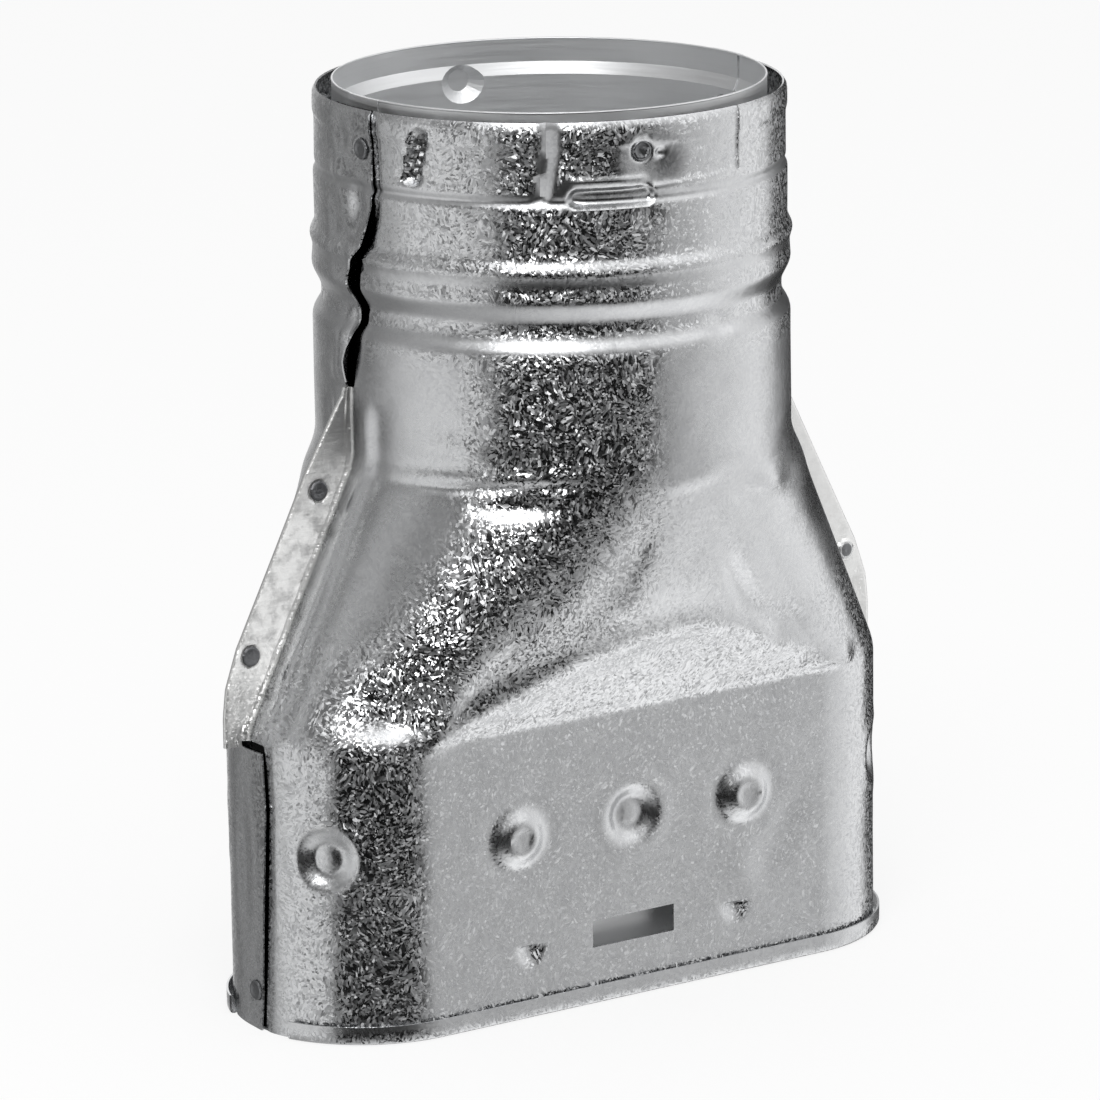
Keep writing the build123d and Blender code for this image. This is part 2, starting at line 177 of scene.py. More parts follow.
def collar_pressings(angle, z, arc):
    """What is pressed into the collar, as a height over the plain face. Arc is mm a degree."""
    height = np.zeros_like(z)
    # Lock channel from the rim
    across = (angle - channel_middle(z)) * arc
    below = np.hypot(np.maximum(np.abs(across) - 0.9, 0), np.maximum(204.6 - z, 0))
    profile = np.interp(across, (-2.9, -1.3, 1.9, 2.6), (0, 1, 0.1, 0))
    height -= 1.25 * profile * hollow(below, 2.4, 0.8)
    # Hook groove round the collar, with a round pit where it starts and a ridge over it
    off = np.maximum(np.maximum(-27.0 - angle, angle + 10.5) * arc, 0)
    height -= 1.25 * hollow(np.hypot(off, z - HOOK_Z), 2.9, 1.3)
    height -= 0.5 * hollow(np.hypot((angle + 28.0) * arc, z - HOOK_Z), 3.0, 0.4)
    in_hook = ease((angle + 30) / 3) * ease((-9 - angle) / 3)
    height += 0.42 * np.exp(-((z - 207.4) / 0.75) ** 2) * in_hook
    # Crease that goes on from the hook to the nib line
    crease = 0.45 * np.exp(-((z - 205.0 - 0.05 * (angle + 10)) / 0.8) ** 2)
    height += crease * ease((angle + 12) / 4) * ease((19 - angle) / 6)
    # Torn-edged pocket
    rough = 0.45 * np.sin(z * 1.9 + angle * 2.3) + 0.3 * np.sin(z * 3.7 - angle * 1.3)
    height -= (1.9 + rough) * hollow(from_pocket(angle, z, arc, 1.1, 5.2), 1.9, 0.3)
    # Nib line on the right
    height += 0.4 * np.exp(-(((angle - 17.0) * arc) / 0.4) ** 2) * ease((z - 205.5) / 1.5)
    # Wide soft hollow round the dish that ties the casing to the liner, with a nick beside it
    soft = np.hypot((angle - TIE_ANGLE) * arc / 1.3, (z - TIE_Z) / 1.05)
    height -= 1.0 * hollow(soft, 8.4, 0.5)
    height -= 0.5 * hollow(np.hypot((angle + 11.2) * arc, z - 214.0), 3.2, 2.4)
    height -= 0.8 * hollow(np.hypot((angle + 6.4) * arc, z - 213.0), 1.8, 0.2)
    return height


# Dimples of the oval end: mm from the front's middle, and whether each goes out (1) or in (-1)
DIMPLES = ((0.0, -1), (-33.0, 1), (33.0, 1), (-83.8, -1), (83.8, -1))
DIMPLE_Z = 45.4


def oval_pressings(run, z):
    """What is pressed into the oval end. Run is the distance from the front's middle."""
    height = np.zeros_like(z)
    for place, way in DIMPLES:
        off = np.hypot(run - place, z - DIMPLE_Z)
        height += way * 2.3 * hollow(off, 8.2, 3.2)
        height -= way * 0.45 * hollow(off, 3.6, 2.0)
        height -= way * 0.18 * np.exp(-((off - 9.2) / 1.6) ** 2)
    return height


# The round bands that the rollers burnished, from height to height
BURNISHED = ((166.4, 170.3), (173.6, 178.6), (183.0, 184.9), (201.4, 204.4), (220.6, 221.4))


def drawn_share(angle, x, run, z, arc):
    """How far the press drew the sheet at each point: at 1 the zinc is burnished.

    Below 0 the sheet was bent over a corner and not drawn, and its crystals stand up.
    """
    foot = np.hypot((angle - channel_middle(z)) * arc, np.maximum(HOOK_Z - z, 0))
    off = np.maximum(np.maximum(-29.5 - angle, angle + 9.5) * arc, 0)
    hook = np.hypot(off, (z - 204.3) * 0.75)
    tie = np.hypot((angle - TIE_ANGLE) * arc / 1.3, z - TIE_Z)
    share = np.maximum(hollow(foot, 3.2, 2.0), hollow(hook, 3.2, 2.4))
    share = np.maximum(share, 0.9 * hollow(tie, 9.0, 6.5)) * (z > COLLAR_Z)
    for low, high in BURNISHED:
        band = ease((z - low) / 0.5 + 0.5) * ease((high - z) / 0.5 + 0.5)
        share = np.maximum(share, band)
    for place, _ in DIMPLES:
        off = np.hypot(run - place, z - DIMPLE_Z)
        share = np.maximum(share, 0.8 * hollow(off, 9.0, 7.0))
    # The transition was drawn most, save where the sheet stayed thick at its front left corner
    aside = np.maximum(ease((angle + 12) / 10), ease((-50 - angle) / 8))
    stretched = ease((z - 93) / 8) * ease((172 - z) / 14) * aside
    from_corner = np.abs(x + 68 - 0.7 * (z - 76)) + 60 * (angle > -8)
    bent = ease((z - 75) / 4) * ease((130 - z) / 8) * ease((19 - from_corner) / 8)
    standing = bent * np.interp(z, (76, 90, 104, 130), (0.8, 0.7, 0.35, 0.2))
    return np.maximum(share, 0.8 * stretched * (1 - bent)) - standing


# Dents: middle x and z, width, height, slope in degrees and how far each one stands out
DENTS = (
    (-42, 134.2, 14, 1.0, 3, -0.75), (-40, 136.8, 15, 1.5, 3, 0.45),
    (-49, 143.5, 5.5, 4.5, 0, 0.45), (-49, 147, 5, 2.4, 0, -0.35), (-46, 139.5, 9, 1.6, 4, -0.3),
    (-58, 71.5, 5, 2.2, 25, 0.35), (29, 128.5, 6, 3.6, -20, 1.1), (24, 124.5, 8, 3, -20, -0.55),
    (16, 137.5, 13, 2.6, -12, 0.6), (4, 134, 9, 2.2, 8, 0.4), (21, 104, 3.4, 15, 32, -0.7),
    (40, 88, 4, 12, 35, -0.75), (31, 96, 6, 18, 35, 0.3), (33, 82, 14, 3.0, 6, 0.5),
    (57, 75.5, 7, 1.8, -6, 0.7), (50, 128, 6, 5, 10, 0.6), (-66, 100, 6, 26, -20, 0.25),
    (-30, 62, 14, 8, 0, -0.12), (42, 60, 10, 12, 0, 0.15), (44, 33, 5, 12, -30, -0.5),
    (33, 25, 5, 9, 25, 0.35), (-2, 60, 20, 10, 0, 0.08), (10, 155, 6, 5, 0, -0.18),
    (6, 169.5, 5, 3, 0, 0.35), (11, 169.5, 3, 3, 0, -0.4), (14, 186, 5, 3, 0, -0.25),
    (15, 200, 4, 3, 0, -0.3), (-27, 160, 14, 10, 0, -0.1), (30, 150, 12, 12, 0, 0.14),
    (-10, 198, 4, 3, 0, -0.35), (-20, 109, 9, 12, 40, 0.2),
)


def soft_dents(x, z):
    """The dents and soft waves that the press left in the transition and round the crimps."""
    height = np.zeros_like(z)
    for cx, cz, wide, tall, lean, out in DENTS:
        u = (x - cx) * cos(radians(lean)) + (z - cz) * sin(radians(lean))
        v = -(x - cx) * sin(radians(lean)) + (z - cz) * cos(radians(lean))
        height += out * np.exp(-(u / wide) ** 2 - (v / tall) ** 2)
    return height


# Creases of the transition: points (x and z), how wide and how high each one stands
FOLDS = (
    (((-58, 74.5), (-40, 81), (-22, 88.5), (-2, 93.5), (14, 93.5), (34, 88), (56, 78), (66, 75)),
     3.8, 1.15),
    (((-56, 73.6), (-30, 73.9), (0, 74.2), (30, 74.2), (58, 74.6)), 1.2, 0.42),
    (((-52, 80), (-34, 90), (-20, 102), (-8, 118)), 6.0, -0.7),
    (((18, 108), (27, 98), (40, 86)), 3.0, -0.8),
    (((-40, 70), (-10, 70.5), (20, 70.5), (44, 70)), 2.6, -0.25),
)


def folds(x, z):
    """How far the creases stand out or in."""
    height = np.zeros_like(z)
    for points, wide, tall in FOLDS:
        near = np.full_like(z, 1e6)
        for (ax, az), (bx, bz) in zip(points, points[1:]):
            on_x, on_z = bx - ax, bz - az
            share = ((x - ax) * on_x + (z - az) * on_z) / (on_x ** 2 + on_z ** 2)
            share = np.clip(share, 0, 1)
            near = np.minimum(near, np.hypot(x - ax - share * on_x, z - az - share * on_z))
        ends = ease((x - points[0][0] + 4) / 8) * ease((points[-1][0] + 4 - x) / 8)
        height += tall * np.exp(-(near / wide) ** 2) * ends
    return height


# Ledges: middle x and z, width, how far up each fades, how deep it is and how sharp its lip
LEDGES = ((-67, 76.0, 8.5, 15, 4.2, 2.9), (-39, 128.0, 6.5, 5.5, 2.4, 1.6))


def ledges(x, z):
    """Sharp ledges that face up, where the sheet was drawn in above a bend."""
    height = np.zeros_like(z)
    for cx, cz, wide, back, deep, sharp in LEDGES:
        above = z - cz
        fall = 1 / (1 + np.exp(-np.clip(above / (sharp * 0.45), -40, 40)))
        fade = np.exp(-(np.maximum(above, 0) / back) ** 2)
        height -= deep * fall * fade * np.exp(-((x - cx) / wide) ** 2)
    return height


def sheet_waves(x, z, seed):
    """Shallow waves all over the sheet, never more than a few tenths of a millimetre."""
    draw = np.random.default_rng(seed)
    height = np.zeros_like(z)
    for length, tall in ((70, 0.10), (38, 0.055), (21, 0.028), (11, 0.010)):
        for _ in range(4):
            turn, shift = draw.uniform(0, 2 * pi, 2)
            height += tall / 2 * np.sin((x * cos(turn) + z * sin(turn)) * 2 * pi / length + shift)
    return height


def spaced(stops):
    """Values from stop to stop, each run at its own spacing: (value, spacing to the next)."""
    values = []
    for (here, step), (there, _) in zip(stops, stops[1:]):
        count = max(1, round((there - here) / step))
        values += list(np.linspace(here, there, count, endpoint=False))
    return values + [stops[-1][0]]


# The blank's rows, from the hem's lip down, round the fold and up the wall
LIP_ROWS = [HEM_TALL, 3.6, 2.4]
HEM_FOLD_ROWS = 7
WALL_ROWS = spaced((
    (HEM_FOOT, 1.2), (11.2, 0.72), (SLOT_LOW_Z, 0.68), (SLOT_HIGH_Z, 1.6), (35.6, 1.0),
    (55.2, 1.6), (FIN_LOW_Z - SLIT, SLIT), (FIN_LOW_Z, 0.75), (77.4, 1.8), (88.6, 0.75),
    (95.8, 1.9), (126.2, 0.75), (138, 1.8), (FIN_TOP_Z, SLIT), (FIN_TOP_Z + SLIT, 1.7),
    (165.2, 0.85), (180, 1.5), (184.8, 0.5), (189, 1.7), (199.2, 0.5), (206.2, 0.5),
    (214.6, 0.4), (216.2, 1.1), (TOP_Z, 1),
))
FIRST_WALL = len(LIP_ROWS) + HEM_FOLD_ROWS
ROWS = FIRST_WALL + len(WALL_ROWS)
LANCE_ROW = FIRST_WALL + int(np.argmin(np.abs(np.array(WALL_ROWS) - LANCE_TOP_Z)))
WALL_ROWS[LANCE_ROW - FIRST_WALL] = LANCE_TOP_Z

# Its columns: the front's share of the way, then the ends', then mm from the seam
FRONT_COLUMNS = [v / OVAL_CENTRES for v in spaced((
    (-56, 1.7), (-42, 1.25), (-34, 0.8), (-26.4, 1.4), (-SLOT_HALF, 1.25), (SLOT_HALF, 1.4),
    (26.4, 0.8), (34, 1.25), (42, 1.7), (56, 1)))]
LAST_SHARE = 0.86
LEFT_COLUMNS = [1 + v for v in spaced((
    (0.03, 0.018), (0.14, 0.009), (0.25, 0.022), (0.66, 0.013), (0.78, 0.03),
    (LAST_SHARE, 0.02)))]
RIGHT_COLUMNS = [1 + v for v in spaced(((0.01, 0.012), (0.05, 0.03), (LAST_SHARE, 0.02)))]
SHORT_OF_SEAM = 12.6
SEAM_COLUMNS = [-9.6, -8.2, -6.8, -5.2, -3.6, -SEAM_BEND]
BEND_COLUMNS = 3
OUTER_COLUMNS = 20
FOLD_COLUMNS = 6
BACK_COLUMNS = 16
FLANGE_COLUMNS = 9
RIGHT_FIN_COLUMNS = BEND_COLUMNS + OUTER_COLUMNS + FOLD_COLUMNS + BACK_COLUMNS
LEFT_FIN_COLUMNS = BEND_COLUMNS + FLANGE_COLUMNS
LAP_COLUMNS = 11


def column_list():
    """Every column of the blank, from the left fin's edge to the right fin's free edge.

    Each is a kind, then its number in a fin or else its part of the way, and mm from the seam.
    """
    columns = [("left", n, 0) for n in range(LEFT_FIN_COLUMNS, 0, -1)]
    columns += [("end", -2.0, mm) for mm in reversed(SEAM_COLUMNS)]
    columns += [("end", -2.0, mm) for mm in (-10.3, -10.7, -11.1, -11.8)]
    columns += [("share", -v, 0) for v in reversed(LEFT_COLUMNS)]
    columns += [("front", v, 0) for v in FRONT_COLUMNS]
    columns += [("share", v, 0) for v in RIGHT_COLUMNS]
    columns += [("end", 2.0, mm) for mm in (-11.8, -10.8)]
    columns += [("end", 2.0, mm) for mm in SEAM_COLUMNS]
    columns += [("right", n, 0) for n in range(1, RIGHT_FIN_COLUMNS + 1)]
    return columns


COLUMNS = column_list()
KIND = np.array([c[0] for c in COLUMNS])
FIRST_CORE = LEFT_FIN_COLUMNS
LAST_CORE = len(COLUMNS) - RIGHT_FIN_COLUMNS - 1


def fin_edge(z):
    """How far out the fin's outer edge is."""
    return np.interp(z, (FIN_LOW_Z, 78, 85, 94.5, 106, 119, 134, 150, FIN_TOP_Z),
                     (95.1, 95.1, 94.3, 91.0, 85.2, 78.7, 71.3, 61.9, 59.2))


def strip_edge(z):
    """How far past the seam the right lap's wavy free edge is."""
    return np.interp(
        z, (0, 30, 55, 69.9, 70, 154, 163, 168, 173, 177, 181, 185, 189, 194, 199, 205, 222),
        (4.4, 6.2, 7.4, 6.6, 6.6, -1.0, -0.9, 0.6, 2.5, 2.2, 1.3, 3.0, 5.6, 7.7, 9.3, 9.2, 8.4))


def strip_lift(z):
    """How far the right lap's free edge stands off the sheet below it."""
    return np.interp(z, (0, 6, 30, 66, 154, 160, 172, 182, 190, 200, 212, 222),
                     (0.5, 0.3, 0.7, 0.4, 0.4, 1.9, 1.5, 1.8, 1.4, 0.6, 0.25, 0.2))


def gap_shade_wide(z):
    """How far out of the gap beside the lap the painted shade reaches."""
    return np.interp(z, (0, 66, 70, 152, 156, 165, 178, 186, 195, 216),
                     (0.8, 0.8, 0.3, 0.3, 2.6, 1.7, 1.9, 1.0, 0.5, 0.35))


def joint_cup(x, z, places, radius):
    """How deep a pressed joint is at each point of a flat layer."""
    depth = np.zeros_like(x)
    for jx, jz in places:
        off = np.hypot(x - jx, z - jz)
        depth += hollow(off, radius + 0.35, radius - 0.35) - 0.35 * hollow(off, radius - 0.9, 0.2)
    return depth


# Pressed joints: x and z of those through the fin, z and mm from the seam of the laps' two
FIN_JOINTS = ((67.6, 129.9), (87.4, 92.2))
COLLAR_JOINT = (212.0, 5.2)
OVAL_JOINT = (9.6, 2.0)
# Hollows crimped into the lap: z, mm past the seam, height, width and depth
STRIP_HOLLOWS = (
    (198, -3, 5.5, 3.0, 1.6), (205, 6, 4, 2.6, -0.9), (167, -1, 6.5, 2.8, 2.1),
    (158, 5, 6, 3.4, -0.9), (186, 3, 5, 3.2, 1.1), (214, 4, 4, 2.4, 0.6),
    (194, 8, 6, 2.6, 0.8), (40, 3, 16, 3.5, 0.8),
)


def wall_points(seed):
    """Where each vertex of the wall goes in the die, as rows by columns, fins still unfolded.

    Gives x, y and z, how far the sheet was drawn there and how much painted shade it takes in the
    gap beside the lap and in the torn pocket.
    """
    wall = np.array(WALL_ROWS)
    z = np.repeat(wall[:, None], len(COLUMNS), axis=1)
    part = np.zeros_like(z)
    past = np.zeros_like(z)
    for n, (kind, number, mm) in enumerate(COLUMNS):
        part[:, n], past[:, n] = number, mm
        if kind in ("left", "right"):
            free_edge = strip_edge(wall) if kind == "right" else LEFT_LAP
            step = min(number, LAP_COLUMNS) / LAP_COLUMNS
            part[:, n] = 2.0 if kind == "right" else -2.0
            past[:, n] = -SEAM_BEND + (free_edge + SEAM_BEND) * step
    # Shares of an end count up to some mm short of the seam, so that no column crosses
    radius = rounded(z, RADIUS_KNOTS)
    end_arc = radius * (pi / 2 - np.radians(rounded(z, OPEN_KNOTS)))
    share = (np.abs(part) - 1) / LAST_SHARE
    spread = np.sign(part) * (1 + share * (1 - SHORT_OF_SEAM / end_arc))
    part = np.where(KIND == "share", spread, part)
    x, y, nx, ny, turn = oval_point(part, z, past)
    # Pressings, dents and waves, along the face's own direction
    arc = radius * pi / 180
    on_end = np.abs(part) > 1
    angle = np.degrees(np.arctan2(x, -y))
    run = np.where(on_end, np.sign(x) * (OVAL_CENTRES + OVAL_RADIUS * np.abs(turn)), x)
    drawn = drawn_share(angle, x, run, z, arc)
    height = ease((z - COLLAR_Z) / 6) * collar_pressings(angle, z, arc)
    height += ease((70 - z) / 6) * oval_pressings(run, z)
    seam_run = np.where(on_end, (pi / 2 - np.abs(turn)) * radius, 40)
    calm = ease((seam_run - 3) / 12)
    height += calm * (soft_dents(x, z) + ledges(x, z) + folds(x, z))
    height += calm * ease((z - 4) / 8) * ease((219 - z) / 6) * sheet_waves(x, z, seed)
    # Left lap: under the other half's strip the wall steps in by a sheet and is pulled in
    left = part < -1
    in_fin = (z > FIN_LOW_Z - 0.01) & (z < FIN_TOP_Z + 0.01)
    fin_mask = np.where(in_fin, ease((z - 70) / 4) * ease((156 - z) / 3), 0)
    to_edge = seam_run - strip_edge(z)
    height -= LAP_STEP * np.where(left, ease((2.8 - to_edge) / 1.4), 0) * (1 - fin_mask)
    pulled_in = ease((z - 150) / 8) * ease((200 - z) / 8) * (1 - fin_mask)
    height -= 1.7 * pulled_in * np.where(left, ease((3.4 - to_edge) / 2.2), 0)
    # Painted shade in the gap beside the lap, and in the torn pocket
    nearness = np.clip(GAP_SHADE_EDGE + gap_shade_wide(z) - to_edge, 0, 6)
    painted_gap_shade = np.where(left & (fin_mask < 0.5), nearness, 0)
    torn = (from_pocket(angle, z, arc, 0.9, 4.6) < 0.9) & on_end
    painted_gap_shade = np.maximum(painted_gap_shade, np.where(torn, POCKET_PAINTED_SHADE, 0))
    # Hollows where the strip was crimped down between the round bands, in both sheets
    from_seam = np.where(part > 1, seam_run, -seam_run)
    for hz, hr, tall, wide, deep in STRIP_HOLLOWS:
        dip = np.exp(-((z - hz) / tall) ** 2 - ((from_seam - hr) / wide) ** 2)
        height -= deep * (1 - fin_mask) * on_end * dip
    # The fin's root bulges where the fold was closed on it
    by_fin = ease((z - 72) / 6) * ease((152 - z) / 5) * on_end
    height += 0.75 * by_fin * np.exp(-((seam_run - 6.5) / 1.7) ** 2)
    height -= 0.35 * by_fin * np.exp(-((seam_run - 11.0) / 2.4) ** 2)
    # Right lap: the strip lifts at its free edge
    free = (past + SEAM_BEND) / np.maximum(strip_edge(z) + SEAM_BEND, 0.5)
    height += np.where(KIND == "right", np.clip(free, 0, 1) ** 2 * strip_lift(z), 0)
    # Joints pressed in through both laps
    for joint_z, aside in (COLLAR_JOINT, OVAL_JOINT):
        off = np.hypot(np.where(on_end, from_seam + aside, 40), z - joint_z)
        height -= 0.4 * hollow(off, 3.1, 2.3)
    return x + height * nx, y + height * ny, z, drawn, painted_gap_shade


def fold_fins(x, y):
    """Bends the columns past each seam out into the fins, between the two slits."""
    wall = np.array(WALL_ROWS)
    fin_row = (wall > FIN_LOW_Z - 0.01) & (wall < FIN_TOP_Z + 0.01)
    for n, (kind, k, _) in enumerate(COLUMNS):
        if kind not in ("left", "right"):
            continue
        right = kind == "right"
        root_x = np.abs(x[:, LAST_CORE if right else FIRST_CORE])
        face = FOLD_RADIUS if right else FLANGE_FACE
        bend = SEAM_BEND - face
        edge = fin_edge(wall) - (FOLD_RADIUS if right else FLANGE_SHORT)
        start = root_x + bend
        edge = np.maximum(edge, start + 0.2)
        outer = OUTER_COLUMNS if right else FLANGE_COLUMNS
        if k <= BEND_COLUMNS:
            turn_by = radians(30 * k)
            fx = root_x + bend * (1 - cos(turn_by))
            fy = np.full_like(fx, -SEAM_BEND + bend * sin(turn_by))
        elif k <= BEND_COLUMNS + outer:
            fx = start + (edge - start) * ((k - BEND_COLUMNS) / outer)
            cup = joint_cup(fx, wall, FIN_JOINTS, 2.5 if right else 2.6)
            fy = -face + (-0.9 if right else 0.85) * cup
        elif k <= BEND_COLUMNS + outer + FOLD_COLUMNS:
            turn_by = pi * (k - BEND_COLUMNS - outer) / FOLD_COLUMNS
            fx = edge + FOLD_RADIUS * sin(turn_by)
            fy = np.full_like(fx, -FOLD_RADIUS * cos(turn_by))
        else:
            share = (k - BEND_COLUMNS - outer - FOLD_COLUMNS) / BACK_COLUMNS
            end = np.minimum(root_x + 1.9 + 0.15 * np.sin(wall * 0.7), edge - 0.1)
            fx = edge + (end - edge) * share
            fy = FOLD_RADIUS + 0.35 * ease((share - 0.86) / 0.14)
            fy = fy - 0.85 * joint_cup(fx, wall, FIN_JOINTS, 2.7)
            fy = fy + 0.10 * np.sin(wall * 0.31 + 1) * share
        x[fin_row, n] = (fx if right else -fx)[fin_row]
        y[fin_row, n] = fy[fin_row]


def hem_points(foot_x, foot_y):
    """The hem's rows under the wall's foot: up the lip, then round the fold."""
    out = np.stack([np.where(np.abs(foot_x) > OVAL_CENTRES,
                             foot_x - np.sign(foot_x) * OVAL_CENTRES, 0), foot_y])
    out /= np.linalg.norm(out, axis=0)
    fold = (HEM_OUT - SHEET) / 2
    points = np.zeros((FIRST_WALL, len(COLUMNS), 3))
    for n in range(FIRST_WALL):
        if n < len(LIP_ROWS):
            off, tall = 2 * fold, LIP_ROWS[n]
        else:
            turn_by = pi * (n - len(LIP_ROWS) + 1) / (HEM_FOLD_ROWS + 1)
            off, tall = fold + fold * cos(turn_by), HEM_FOOT - fold * sin(turn_by)
        points[n, :, 0] = foot_x + off * out[0]
        points[n, :, 1] = foot_y + off * out[1]
        points[n, :, 2] = tall
    return points


def is_waste(low, high, left, right, middle, hemmed):
    """Whether a face of the blank is cut away, from its rows, its columns and its middle."""
    if high < FIRST_WALL and not (hemmed[left] and hemmed[right]):
        return True
    if low >= FIRST_WALL and FIRST_CORE <= left and right <= LAST_CORE:
        beside = abs(middle.x) < SLOT_HALF - 0.3 and middle.y < -20
        return beside and SLOT_LOW_Z < middle.z < SLOT_HIGH_Z
    if right > LAST_CORE or left < FIRST_CORE:
        tall = 0
        if low >= FIRST_WALL:
            tall = (WALL_ROWS[low - FIRST_WALL] + WALL_ROWS[high - FIRST_WALL]) / 2
        in_fin = FIN_LOW_Z < tall < FIN_TOP_Z
        in_slit = FIN_LOW_Z - SLIT < tall < FIN_LOW_Z or FIN_TOP_Z < tall < FIN_TOP_Z + SLIT
        beyond = right > LAST_CORE + LAP_COLUMNS or left < FIRST_CORE - LAP_COLUMNS
        return in_slit or (beyond and not in_fin)
    return False


def press_lances(work, row):
    """Shears the sheet along each lance's top and pushes it in below."""
    slits = []
    for edge in work.edges:
        a, b = edge.verts
        middle = (a.co + b.co) / 2
        if row[a.index] == LANCE_ROW and row[b.index] == LANCE_ROW and middle.y < -25:
            if abs(abs(middle.x) - LANCE_X) < LANCE_HALF:
                slits.append(edge)
    bmesh.ops.split_edges(work, edges=slits)
    for v in work.verts:
        side = LANCE_X if v.co.x > 0 else -LANCE_X
        off_x, off_z = (v.co.x - side) / LANCE_HALF, (LANCE_TOP_Z - v.co.z) / LANCE_TALL
        if v.co.y > -25 or not -0.01 < off_z < 1 or abs(off_x) > 1:
            continue
        # The sheet above the slit stays, and so do the slit's ends, which are still joined
        if off_z < 0.01 and any(f.calc_center_median().z > LANCE_TOP_Z for f in v.link_faces):
            continue
        v.co.y += LANCE_DEEP * max(0.0, 1 - off_x ** 2 - off_z ** 2) ** 2


def pressed_blank(name, seed, turned):
    """Cuts the blank, presses it and gives the sheet its thickness."""
    bpy.ops.object.select_all(action="DESELECT")
    wide = len(COLUMNS)
    bpy.ops.mesh.primitive_grid_add(x_subdivisions=wide - 1, y_subdivisions=ROWS - 1, size=2)
    blank = bpy.context.object
    blank.name = name
    flat = np.array([v.co for v in blank.data.vertices])
    col = np.rint((flat[:, 0] + 1) / 2 * (wide - 1)).astype(int)
    row = np.rint((flat[:, 1] + 1) / 2 * (ROWS - 1)).astype(int)
    x, y, z, wall_drawn, wall_gap_shade = wall_points(seed)
    fold_fins(x, y)
    points = np.concatenate([hem_points(x[0], y[0]), np.stack([x, y, z], axis=-1)])
    drawn = np.full((ROWS, wide), 0.2)
    drawn[:2] = 1.0
    drawn[FIRST_WALL:] = wall_drawn
    # Painted shade in the gap beside the laps and in the torn pocket, kept on the vertices
    painted_gap_shade = np.zeros((ROWS, wide))
    painted_gap_shade[FIRST_WALL:] = wall_gap_shade
    # The hem stops short of the seams, where the wall's foot goes straight down
    hemmed = np.zeros(wide, bool)
    hemmed[FIRST_CORE:LAST_CORE + 1] = True
    hemmed &= ~((x[0] < 0) & (y[0] > -13.0)) & ~((x[0] > 0) & (y[0] > -10.5))
    points[FIRST_WALL - 1, ~hemmed] = points[FIRST_WALL, ~hemmed]
    points[FIRST_WALL - 1, ~hemmed, 2] = 0.02
    work = bmesh.new()
    work.from_mesh(blank.data)
    burnished = work.verts.layers.float.new("drawn")
    gap_shade_layer = work.verts.layers.float.new("painted_gap_shade")
    for v in work.verts:
        place = row[v.index], col[v.index]
        v[burnished], v[gap_shade_layer], v.co = drawn[place], painted_gap_shade[place], points[place]
    waste = []
    for face in work.faces:
        rows = [row[v.index] for v in face.verts]
        cols = [col[v.index] for v in face.verts]
        middle = face.calc_center_median()
        if is_waste(min(rows), max(rows), min(cols), max(cols), middle, hemmed):
            waste.append(face)
    bmesh.ops.delete(work, geom=waste, context="FACES")
    press_lances(work, row)
    turn = -1 if turned else 1
    for v in work.verts:
        v.co = Vector((v.co.x * turn, v.co.y * turn, v.co.z)) * MM
    bmesh.ops.delete(work, geom=[v for v in work.verts if not v.link_faces], context="VERTS")
    # The outside of the sheet is the side that looks away from the middle of the flue
    bmesh.ops.recalc_face_normals(work, faces=work.faces)
    front = Vector((0, -OVAL_RADIUS * turn, 30)) * MM
    probe = min(work.faces, key=lambda f: (f.calc_center_median() - front).length)
    if probe.normal.y * turn > 0:
        bmesh.ops.reverse_faces(work, faces=work.faces)
    work.to_mesh(blank.data)
    work.free()
    thick = blank.modifiers.new("sheet", "SOLIDIFY")
    thick.thickness = SHEET * MM
    thick.offset = -1
    thick.use_even_offset = True
    bpy.ops.object.modifier_apply(modifier=thick.name)
    bpy.ops.object.shade_smooth_by_angle(angle=radians(38))
    return blank


def srgb(code):
    """A colour written as sRGB hex, turned to the linear light that Blender mixes."""
    parts = [int(code[n:n + 2], 16) / 255 for n in (1, 3, 5)]
    return [p / 12.92 if p < 0.04045 else ((p + 0.055) / 1.055) ** 2.4 for p in parts] + [1]


def put(tree, kind, wires=(), **settings):
    """Adds a node with its settings, and wires or sets its inputs by name or place."""
    made = tree.nodes.new("ShaderNode" + kind)
    for name, value in settings.items():
        setattr(made, name, value)
    for name, value in dict(wires).items():
        if isinstance(value, bpy.types.NodeSocket):
            tree.links.new(value, made.inputs[name])
        else:
            made.inputs[name].default_value = value
    return made


# Real sizes of the zinc's patterns, in metres: a grain, one crystal of it and how far it curls,
# grit, the clouds of a worn sheet, and on the fins the blotches of the painted highlight and the
# strokes
GRAIN = 0.0036
CRYSTAL = 0.0013
CURL = 0.0016
GRIT = 0.0011
CLOUD = 0.03
BLOTCH = 0.005
STROKE = (0.006, 0.006, 0.0011)
TILT = 0.05
GRAIN_TILT = 0.03
STANDING = 0.45
FROSTED = 0.51
BURNISHED_ROUGH = 0.29
RUBBED_ROUGH = 0.40


